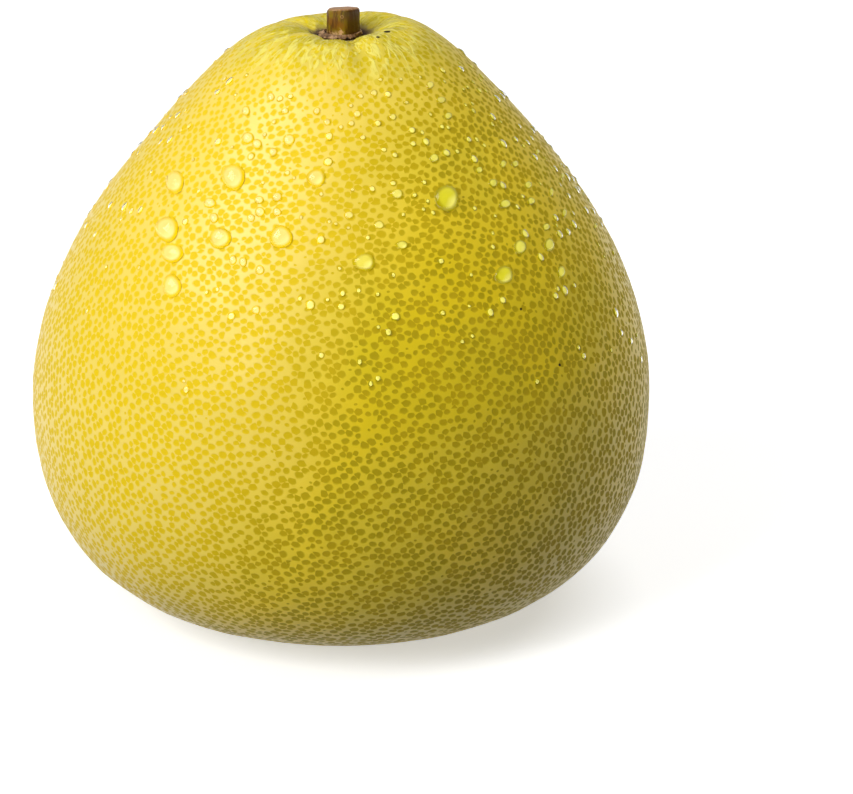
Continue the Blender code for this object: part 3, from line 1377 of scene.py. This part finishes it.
        middle = np.argmax(reach[corners] > 0.0, axis=1)
        centre = corners[np.arange(len(corners)), middle]
        held = reach[centre] > 0.0
        apart = place[corners] - place[centre][:, None, :]
        along = np.einsum("fcx,fx->fc", apart, way[centre])
        apart -= way[centre][:, None, :] * (along * (1.0 - 1.0 / longer[centre][:, None]))[..., None]
        apart *= (np.sqrt(longer[centre]) / np.maximum(reach[centre], 1e-6))[:, None, None]
        shared = corners[held].ravel()
        lengths = np.linalg.norm(apart[held], axis=2).ravel()
        meeting = np.bincount(shared, lengths, count) / np.maximum(np.bincount(shared, minlength=count), 1)
        apart[~held] = 0.0
        least, none_near = self.net_shares
        between = np.where(meeting > 0.0, np.maximum(meeting, least), none_near)
        apart[~held, :, 0] = between[corners[~held]]
        shares = mesh.attributes.new("gland_at", "FLOAT_VECTOR", "CORNER")
        shares.data.foreach_set("vector", apart.astype(np.float32).ravel())


@dataclass
class Stalk:
    """The cut stub of the stalk, angular, with bark that is ridged along it and a rounded cut end.

    Attributes:
        rise_x: How much its cut end rises for each metre to the right.
        rise_y: How much it rises for each metre to the back.
        root: Where it ends in the socket, from the seat.
        groove_turn: How far its grooves turn on the way up, in radians.
        dish: How deep the middle of its cut end is.
        bark_scale: The grains of rough bark to the metre, round the stalk and up it.
    """

    form: FruitForm
    finish: BarkFinish
    radius: float = 0.0040
    height: float = 0.0070
    rise_x: float = 0.04
    rise_y: float = -0.14
    foot_flare: float = 0.0004
    flare_height: float = 0.0022
    edge: float = 0.0009
    root: float = -0.0019
    ridges: Waves = ((2, 0.03, 50.0), (5, 0.04, 10.0))
    grooves: Waves = ((17, 0.008, 3.0), (29, 0.006, 11.0))
    groove_turn: float = 0.25
    segments: int = 96
    side_steps: int = 26
    edge_steps: int = 5
    cut_rings: tuple[float, ...] = (0.75, 0.5, 0.25, 0.0)
    dish: float = 0.00025
    bark_scale: Span = (900.0, 260.0)
    bark_from: float = 0.001
    rough_depth: float = 0.00012

    def build(self) -> bpy.types.Object:
        """Builds and dresses the stalk.

        Returns:
            The stalk.
        """
        shape = turned(self.profile(), self.segments)
        for vert in shape.verts:
            self.carve(vert)
        bmesh.ops.translate(shape, verts=shape.verts, vec=self.form.top)
        return stand_for(finished("stalk_bark", shape, self.finish.build()), "stalk_wood", "stalk")

    def profile(self) -> list[Vector]:
        """Half the outline of the round stalk, with the seat at height 0.

        Returns:
            Its points, from the middle of its root to that of its cut end.
        """
        root = Vector((0.0, 0.0, self.root))
        wide = self.radius + self.foot_flare
        points = [root, root + Vector((self.radius, 0.0, 0.0)), Vector((wide, 0.0, 0.0))]
        for step in range(1, self.side_steps + 1):
            up = (self.height - self.edge) * step / self.side_steps
            flare = self.foot_flare * max(1.0 - up / self.flare_height, 0.0) ** 2
            points.append(Vector((self.radius + flare, 0.0, up)))
        for step in range(1, self.edge_steps + 1):
            turn = 0.5 * math.pi * step / self.edge_steps
            inset, drop = self.edge * (1.0 - math.cos(turn)), self.edge * (1.0 - math.sin(turn))
            points.append(Vector((self.radius - inset, 0.0, self.height - drop)))
        for share in self.cut_rings:
            across = (self.radius - self.edge) * share
            points.append(Vector((across, 0.0, self.height - self.dish * (1.0 - share * share))))
        return points

    def carve(self, vert: bmesh.types.BMVert) -> None:
        """Moves a point of the round stalk to where the ridges, the cut end's slope and the bark have it.

        Args:
            vert: The point.
        """
        azimuth = math.atan2(vert.co.x, -vert.co.y)
        up = min(max(vert.co.z / self.height, 0.0), 1.0)
        groove = wave_sum(self.grooves, azimuth + self.groove_turn * up) * min(4.0 * up, 1.0)
        ridge = float(1.0 + wave_sum(self.ridges, azimuth) + groove)
        vert.co.x *= ridge
        vert.co.y *= ridge
        slope = self.rise_x * vert.co.x + self.rise_y * vert.co.y
        vert.co.z += slope * float(smooth_step(0.0, 1.0, up))
        round_scale, up_scale = self.bark_scale
        bark = noise.noise(Vector((vert.co.x * round_scale, vert.co.y * round_scale, vert.co.z * up_scale)))
        outward = Vector((vert.co.x, vert.co.y, 0.0))
        if vert.co.z > 0.0 and outward.length > self.bark_from:
            vert.co += outward.normalized() * bark * self.rough_depth


@dataclass
class Calyx:
    """The dry calyx: a thin ragged collar of five lobes that hugs the stalk's foot.

    Attributes:
        first_lobe: The azimuth of the first of its lobes, in degrees.
        leftwards: How much further it reaches on the left.
        ragged: How far its edge is torn.
        tears: How close the coarse and the fine tears are.
        fine_tears: How strong the fine ones are.
        rings: Its rings, as the share of the way outwards and the height.
    """

    form: FruitForm
    finish: CalyxFinish
    lobes: int = 5
    first_lobe: float = 18.0
    inner_radius: float = 0.00460
    rim_radius: float = 0.00530
    lobe_rise: float = 0.0003
    leftwards: float = 0.0009
    ragged: float = 0.00060
    tears: Span = (7.0, 21.0)
    fine_tears: float = 0.6
    curl: float = 0.00030
    curl_scale: float = 600.0
    segments: int = 200
    rings: tuple[Span, ...] = ((0.0, 0.00125), (0.3, 0.00095), (0.65, 0.00070), (1.0, 0.00050))
    thickness: float = 0.00028

    def build(self) -> bpy.types.Object:
        """Builds and dresses the calyx.

        Returns:
            The calyx.
        """
        shape = bmesh.new()
        coarse, fine = self.tears
        for share, height in self.rings:
            radius = self.inner_radius + (self.rim_radius - self.inner_radius) * share
            for vert in bmesh.ops.create_circle(shape, segments=self.segments, radius=radius)["verts"]:
                azimuth = math.atan2(vert.co.x, -vert.co.y)
                lobe = self.lobe_rise * math.cos(self.lobes * (azimuth - math.radians(self.first_lobe)))
                way = Vector((math.cos(azimuth), math.sin(azimuth), 0.0))
                torn = noise.noise(way * coarse) + self.fine_tears * noise.noise(way * fine + UP * 5.0)
                reach = lobe + self.ragged * torn - self.leftwards * math.sin(azimuth)
                vert.co *= 1.0 + share * reach / radius
                curl = noise.noise(Vector((vert.co.x, vert.co.y, 0.0)) * self.curl_scale + UP)
                vert.co.z = height + self.curl * curl * (0.3 + share)
        bmesh.ops.bridge_loops(shape, edges=shape.edges[:])
        bmesh.ops.recalc_face_normals(shape, faces=shape.faces)
        bmesh.ops.solidify(shape, geom=shape.faces[:], thickness=self.thickness)
        bmesh.ops.recalc_face_normals(shape, faces=shape.faces)
        bmesh.ops.translate(shape, verts=shape.verts, vec=self.form.top)
        return stand_for(finished("calyx_collar", shape, self.finish.build(), 60.0), "calyx_skin", "calyx")


# Drops that the photograph shows: pixel across, pixel down, width and height as seen, in millimetres
LARGE_DROPS = (
    (233, 177, 5.7, 6.6), (447, 198, 5.7, 6.3), (167, 229, 5.5, 6.2), (281, 237, 5.5, 5.5),
    (220, 238, 5.2, 5.2), (364, 262, 5.2, 4.5), (172, 253, 5.2, 4.8), (175, 182, 4.4, 5.6),
    (172, 286, 4.3, 5.7), (316, 178, 4.5, 4.5), (504, 275, 4.3, 4.5),
)
MEDIUM_DROPS = (
    (520, 247, 3.1, 3.6), (549, 245, 2.6, 3.3), (561, 272, 1.9, 3.1), (505, 204, 2.9, 2.1),
    (493, 183, 2.1, 2.1), (434, 158, 2.4, 2.1), (397, 194, 2.9, 2.6), (402, 245, 2.9, 2.1),
    (349, 215, 2.4, 1.9), (379, 225, 2.6, 2.1), (210, 203, 3.1, 2.4), (214, 218, 2.1, 2.6),
    (248, 138, 2.9, 2.9), (257, 144, 2.4, 2.4), (289, 140, 2.9, 2.9), (273, 152, 2.1, 2.1),
    (277, 197, 2.4, 2.4), (260, 212, 2.4, 2.4), (259, 200, 2.4, 1.9), (251, 218, 1.9, 2.1),
    (277, 212, 2.1, 2.1), (233, 260, 1.7, 2.6), (243, 262, 1.9, 2.4), (260, 270, 2.1, 2.4),
    (256, 310, 2.1, 2.1), (246, 111, 1.9, 2.4), (271, 97, 1.7, 2.1), (285, 111, 1.9, 1.6),
    (441, 100, 2.4, 1.7), (430, 85, 1.9, 1.9), (448, 116, 1.9, 1.9), (357, 114, 2.1, 1.7),
    (393, 117, 1.7, 1.7), (374, 93, 1.7, 1.7), (327, 122, 1.7, 1.7), (528, 185, 1.9, 1.9),
    (515, 164, 1.7, 1.7), (503, 164, 1.5, 1.9), (479, 170, 1.7, 1.7), (546, 227, 1.9, 1.9),
    (531, 201, 1.9, 1.9), (551, 192, 1.2, 2.2), (562, 176, 1.2, 2.2), (560, 165, 1.2, 2.0),
    (537, 152, 1.3, 2.0), (564, 213, 1.4, 2.2), (583, 194, 1.2, 2.2), (595, 226, 1.2, 2.4),
)


@dataclass(frozen=True)
class DropGrade:
    """How a size of drop is made.

    Attributes:
        rings: The steps up its side.
        segments: The steps round it.
        height_share: Its height as a share of its radius.
        glows: How much of its floor is as bright as its painted caustic glow, from 0 to 1.
        fill: How high the middle of its floor stands, as a share of its height.
        scattered: How many more such drops are scattered.
        radii: The least and greatest radius of those.
        seen: The drops that the photograph shows.
    """

    rings: int
    segments: int
    height_share: float
    glows: float
    fill: float
    scattered: int
    radii: Span
    seen: tuple[tuple[float, float, float, float], ...] = ()


class DropSize(Enum):
    """The three sizes of drop."""

    LARGE = DropGrade(
        rings=12,
        segments=32,
        height_share=0.46,
        glows=0.0,
        fill=0.07,
        scattered=7,
        radii=(0.0021, 0.0029),
        seen=LARGE_DROPS,
    )
    MEDIUM = DropGrade(
        rings=7,
        segments=20,
        height_share=0.46,
        glows=0.35,
        fill=0.30,
        scattered=46,
        radii=(0.0008, 0.0015),
        seen=MEDIUM_DROPS,
    )
    SMALL = DropGrade(
        rings=3,
        segments=9,
        height_share=0.42,
        glows=0.60,
        fill=0.60,
        scattered=420,
        radii=(0.00050, 0.00120),
    )


@dataclass
class WaterDrops:
    """Drops of water on the upper half of the fruit.

    Attributes:
        skirt: How far their sides reach into the skin.
        floor_lift: How far the edge of a drop's floor stands off the skin.
        floor_rings: The rings of the floor, as shares of the drop's radius.
        contact_turn: The angle up a ball, in radians, at which a drop's cap is cut off.
        rim_span: Where the painted shade at the floor's rim starts and is full, as shares of the radius.
        glow_span: The same for its painted caustic glow, on the side away from the light.
        glow_way: The way in which the light crosses the front.
        longest: How many times its seen width or height a drop may be, where the skin turns away.
        sag: How far the top of a drop slides down, as a share of its height.
        uneven: How far the foot of a drop strays from an oval.
        heights: The least and greatest height at which drops are scattered.
        hidden_from: How far back a hidden place is, for each metre to the side.
        crowded_height: The height from which small drops stand as closely as they do anywhere.
        low_share: How many of them there are low down, as a share of that.
        right_span: The way across the front on which they get as many as anywhere.
        left_share: How many there are left of it.
        back_share: How far to the right the back counts as.
        stretch: The least and greatest length of a scattered drop, as a share of its width.
        mostly_small: How much the scattered drops keep to the small end of their sizes.
    """

    skin: BVHTree
    finish: WaterFinish
    skirt: float = 0.0003
    skirt_share: float = 0.995
    floor_lift: float = 0.00004
    floor_rings: tuple[float, ...] = (0.98, 0.80, 0.58, 0.0)
    contact_turn: float = 0.30
    rim_span: Span = (0.56, 0.82)
    glow_span: Span = (0.1, 0.7)
    glow_way: Vector = Vector((0.65, 0.0, -0.75))
    longest: float = 1.45
    sag: float = 0.10
    uneven: float = 0.05
    gap: float = 0.0003
    heights: Span = (0.066, 0.141)
    hidden_from: float = 0.2
    crowded_height: float = 0.115
    low_share: float = 0.12
    right_span: Span = (-0.012, 0.042)
    left_share: float = 0.5
    back_share: float = 0.55
    stretch: Span = (0.9, 1.25)
    mostly_small: float = 1.8
    cast_from: float = 0.12
    seed: int = 23

    def build(self) -> list[bpy.types.Object]:
        """Builds and dresses the drops.

        Returns:
            One piece for each size.
        """
        draw = np.random.default_rng(self.seed)
        water = self.finish.build()
        taken: list[tuple[Vector, float]] = []
        found: dict[DropSize, list[Seat]] = {size: [] for size in DropSize}
        for size, seats in found.items():
            for x, y, wide, tall in size.value.seen:
                seat = self.seen_seat(x, y, wide * MILLIMETRE / 2.0, tall * MILLIMETRE / 2.0)
                if seat is not None:
                    seats.append(seat)
                    taken.append((seat[0], max(seat[2].length, seat[3].length)))
        for size, seats in found.items():
            self.scatter(size, seats, taken, draw)
        return [self.pour(size, seats, draw, water) for size, seats in found.items()]

    def seen_seat(self, x: float, y: float, half_wide: float, half_tall: float) -> Seat | None:
        """Finds where a drop sits that the photograph shows, and the shape of its foot.

        Args:
            x: The drop's pixel across the frame.
            y: Its pixel down the frame.
            half_wide: Half its width as seen.
            half_tall: Half its height as seen.

        Returns:
            Its middle, the skin's normal, and the two half axes of its foot, or None where there is no skin.
        """
        hit = CAMERA.cast(self.skin, x, y)
        if hit is None:
            return None
        middle, normal = hit
        sight = CAMERA.way(x, y)
        right = sight.cross(UP).normalized()
        over = right.cross(sight).normalized()
        lean = sight.dot(normal)
        across = right * half_wide - sight * (right.dot(normal) / lean) * half_wide
        along = over * half_tall - sight * (over.dot(normal) / lean) * half_tall
        for axis, seen in ((across, half_wide), (along, half_tall)):
            if axis.length > self.longest * seen:
                axis *= self.longest * seen / axis.length
        return middle, normal, across, along

    def chance(self, size: DropSize, place: Vector) -> float:
        """The chance that a scattered drop stays at a place.

        Large and medium ones stay where the photograph doesn't show the skin. More small ones stay high
        up, and on the right of the front.

        Args:
            size: Its size.
            place: The place.

        Returns:
            The chance, from 0 to 1.
        """
        if size is not DropSize.SMALL:
            return float(place.y > self.hidden_from * abs(place.x))
        high = smooth_step(self.heights[0], self.crowded_height, place.z)
        right = smooth_step(*self.right_span, place.x) if place.y < 0.0 else self.back_share
        low, left = self.low_share, self.left_share
        return float((low + (1.0 - low) * high) * (left + (1.0 - left) * right))

    def scatter(
        self, size: DropSize, seats: list[Seat], taken: list[tuple[Vector, float]], draw: np.random.Generator
    ) -> None:
        """Adds seeded drops of one size, clear of the others.

        Args:
            size: Their size.
            seats: The list that takes them.
            taken: The middles and sizes of all the drops so far.
            draw: The random generator.
        """
        least, most = size.value.radii
        wanted = len(seats) + size.value.scattered
        while len(seats) < wanted:
            azimuth = draw.uniform(-math.pi, math.pi)
            height = draw.uniform(*self.heights)
            outward = Vector((math.sin(azimuth), -math.cos(azimuth), 0.0))
            place, normal, _, _ = self.skin.ray_cast(outward * self.cast_from + UP * height, -outward)
            radius = least + (most - least) * float(draw.random()) ** self.mostly_small
            if place is None or draw.random() >= self.chance(size, place):
                continue
            if any((place - other).length < radius + reach + self.gap for other, reach in taken):
                continue
            across = normal.cross(UP).normalized() * radius
            along = across.cross(normal).normalized() * radius * draw.uniform(*self.stretch)
            seats.append((place, normal, across, along))
            taken.append((place, radius))

    def dome(self, grade: DropGrade) -> bpy.types.Mesh:
        """Makes a drop of radius 1 and height 1.

        Its sides stand on height 0, its skirt ends at -1, and its floor goes from -2 at the edge to -3 in
        the middle, so that a point's height tells what it belongs to.

        Args:
            grade: Its steps.

        Returns:
            The mesh, which is removed when its drops are made.
        """
        low = math.sin(self.contact_turn)
        profile = [UP]
        for step in range(1, grade.rings + 1):
            turn = math.pi / 2.0 - (math.pi / 2.0 - self.contact_turn) * step / grade.rings
            rise = (math.sin(turn) - low) / (1.0 - low)
            profile.append(Vector((math.cos(turn) / math.cos(self.contact_turn), 0.0, rise)))
        profile.append(Vector((self.skirt_share, 0.0, -1.0)))
        profile += [Vector((share, 0.0, -2.0 - math.sqrt(1.0 - share))) for share in self.floor_rings]
        shape = turned(profile, grade.segments)
        mesh = bpy.data.meshes.new("dome")
        shape.to_mesh(mesh)
        shape.free()
        return mesh

    def settle(
        self,
        verts: Iterable[bmesh.types.BMVert],
        layers: Layers,
        grade: DropGrade,
        seat: Seat,
        waves: Waves,
    ) -> None:
        """Moves one plain dome to its seat on the skin, and marks its painted rim shade, its painted caustic
        glow and its floor.

        Args:
            verts: The points of the dome.
            layers: The mesh's layers for the three marks.
            grade: The drop's grade.
            seat: Where it sits.
            waves: How its foot strays from an oval.
        """
        rim_layer, glow_layer, under_layer = layers
        middle, normal, across, along = seat
        far = (self.glow_way - normal * self.glow_way.dot(normal)).normalized()
        sides = across.normalized().dot(far), along.normalized().dot(far)
        height = grade.height_share * math.sqrt(across.length * along.length)
        down = (normal * UP.dot(normal) - UP).normalized() * self.sag * height
        for vert in verts:
            x, y, up = vert.co
            wave = float(1.0 + wave_sum(waves, math.atan2(y, x)))
            # Painted shade: the rim mark darkens the floor towards the drop's edge.
            vert[rim_layer] = float(smooth_step(*self.rim_span, math.hypot(x, y)))
            # Painted caustic: the floor is marked lit on the side away from the light, and everywhere at
            # least by the grade's share.
            lit = float(smooth_step(*self.glow_span, x * sides[0] + y * sides[1]))
            vert[glow_layer] = max(grade.glows, lit)
            vert[under_layer] = float(up < -0.5)
            if up < -1.5:
                lift = self.floor_lift + grade.fill * height * (-2.0 - up)
            else:
                lift = height * up if up > 0.0 else self.skirt * up
            vert.co = middle + (across * x + along * y) * wave + normal * lift + down * max(up, 0.0)

    def pour(
        self, size: DropSize, seats: Iterable[Seat], draw: np.random.Generator, water: bpy.types.Material
    ) -> bpy.types.Object:
        """Makes the drops of one size.

        Args:
            size: Their size.
            seats: Where they sit.
            draw: The random generator.
            water: Their material.

        Returns:
            One piece with all of them.
        """
        dome = self.dome(size.value)
        shape = bmesh.new()
        layers = [shape.verts.layers.float.new(name) for name in ("rim", "glow", "under")]
        for seat in seats:
            start = len(shape.verts)
            shape.from_mesh(dome)
            shape.verts.ensure_lookup_table()
            waves = tuple((count, draw.uniform(0.0, self.uneven), draw.uniform(0, 360)) for count in (2, 3))
            self.settle(shape.verts[start:], layers, size.value, seat, waves)
        bpy.data.meshes.remove(dome)
        bmesh.ops.recalc_face_normals(shape, faces=shape.faces)
        return stand_for(finished(f"water_{size.name.lower()}", shape, water, 70.0), "rind")


@dataclass(frozen=True)
class Lamp:
    """A square soft light that looks at the fruit.

    Attributes:
        name: Its name.
        azimuth: The azimuth that it shines from, in degrees.
        elevation: Its elevation in degrees.
        distance: How far from the fruit it stands.
        size: Its side.
        power: Its power in watts.
        lights: Whether it lights matt surfaces.
        shines: Whether it shows in gloss.
    """

    name: str
    azimuth: float
    elevation: float
    distance: float
    size: float
    power: float
    lights: bool = True
    shines: bool = True

    def build(self, aim: Vector) -> None:
        """Adds the light, turned to a point.

        Args:
            aim: The point.
        """
        data = bpy.data.lights.new(self.name, "AREA")
        data.shape = "SQUARE"
        data.size = self.size
        data.energy = self.power
        made = bpy.data.objects.new(self.name, data)
        turn, tilt = math.radians(self.azimuth), math.radians(self.elevation)
        way = Vector((math.sin(turn) * math.cos(tilt), -math.cos(turn) * math.cos(tilt), math.sin(tilt)))
        made.location = aim + way * self.distance
        made.rotation_euler = way.to_track_quat("Z", "Y").to_euler()
        made.visible_diffuse = self.lights
        made.visible_transmission = self.lights
        made.visible_glossy = self.shines
        bpy.context.scene.collection.objects.link(made)


@dataclass
class Studio:
    """A white floor and backdrop, a screen that shows in gloss alone, and soft lights.

    Attributes:
        floor_glow: How brightly the floor glows under the fruit, where 1 is white.
        glow_span: The distances from the fruit between which its glow rises to 1.
        screen_span: Where the screen gets bright, from front to back, as shares of its radius.
        ambient: The strength of the even light from all round.
        aim: The point that the lights look at.
    """

    floor_size: float = 8.0
    floor_colour: Colour = (0.90, 0.90, 0.90)
    floor_glow: float = 0.50
    glow_span: Span = (0.25, 1.2)
    backdrop_radius: float = 5.0
    backdrop_light: float = 1.0
    screen_radius: float = 4.5
    screen_light: float = 0.5
    screen_span: Span = (-0.35, 0.45)
    ambient: float = 0.14
    lamps: tuple[Lamp, ...] = (
        Lamp("key_light", -47.0, 29.0, 1.3, 0.8, 17.2, shines=False),
        Lamp("fill_light", 92.0, 65.0, 1.4, 1.2, 11.0, shines=False),
        Lamp("gloss_light", -69.0, 50.0, 1.3, 0.8, 11.0, lights=False),
    )
    aim: Vector = Vector((0.0, 0.0, 0.08))

    def build(self) -> None:
        """Builds the floor, the backdrop, the screen, the lights and the world."""
        self.floor()
        backdrop = self.dome(Graph("backdrop"), self.backdrop_radius, self.backdrop_light)
        backdrop.visible_glossy = False
        backdrop.visible_transmission = False

        paint = Graph("screen")
        near, end = (share * self.screen_radius for share in self.screen_span)
        light = paint.rise(paint.place_along("Y"), near, end, 0.0, self.screen_light)
        screen = self.dome(paint, self.screen_radius, light)
        screen.visible_camera = False
        screen.visible_transmission = False

        for lamp in self.lamps:
            lamp.build(self.aim)

        world = bpy.data.worlds.new("studio")
        world.use_nodes = True
        sky = world.node_tree.nodes["Background"]
        sky.inputs["Color"].default_value = (*WHITE, 1.0)
        sky.inputs["Strength"].default_value = self.ambient
        bpy.context.scene.world = world
        bpy.context.scene.view_settings.view_transform = "Standard"

    def floor(self) -> None:
        """Adds the floor, which takes the fruit's shadow and lights nothing by itself."""
        shape = bmesh.new()
        bmesh.ops.create_grid(shape, x_segments=1, y_segments=1, size=self.floor_size / 2.0)
        paint = Graph("floor")
        far = paint.vector("LENGTH", paint.place, output="Value")
        paint.dress(
            Base_Color=self.floor_colour,
            Roughness=0.9,
            Specular_IOR_Level=0.1,
            Emission_Color=WHITE,
            Emission_Strength=paint.rise(far, *self.glow_span, self.floor_glow, 1.0),
        )
        ground = finished("floor", shape, paint.material)
        ground.visible_diffuse = False

    def dome(self, paint: Graph, radius: float, light: Value) -> bpy.types.Object:
        """Adds a glowing dome round the floor that lights nothing by itself.

        Args:
            paint: Its material, which gives it its name.
            radius: Its radius.
            light: How brightly it glows.

        Returns:
            The dome.
        """
        shape = bmesh.new()
        bmesh.ops.create_icosphere(shape, subdivisions=4, radius=radius)
        bmesh.ops.reverse_faces(shape, faces=shape.faces)
        paint.dress(Base_Color=BLACK, Emission_Color=WHITE, Emission_Strength=light)
        made = finished(paint.material.name, shape, paint.material)
        made.visible_diffuse = False
        made.visible_shadow = False
        return made


def main() -> None:
    """Builds the fruit and its studio."""
    logging.basicConfig(level=logging.INFO, format="%(name)s: %(message)s")
    form = FruitForm()
    CAMERA.build()
    Studio().build()
    skin = Rind(form, RindFinish()).build()
    Stalk(form, BarkFinish()).build()
    Calyx(form, CalyxFinish()).build()
    WaterDrops(skin, WaterFinish()).build()


if __name__ == "__main__":
    main()
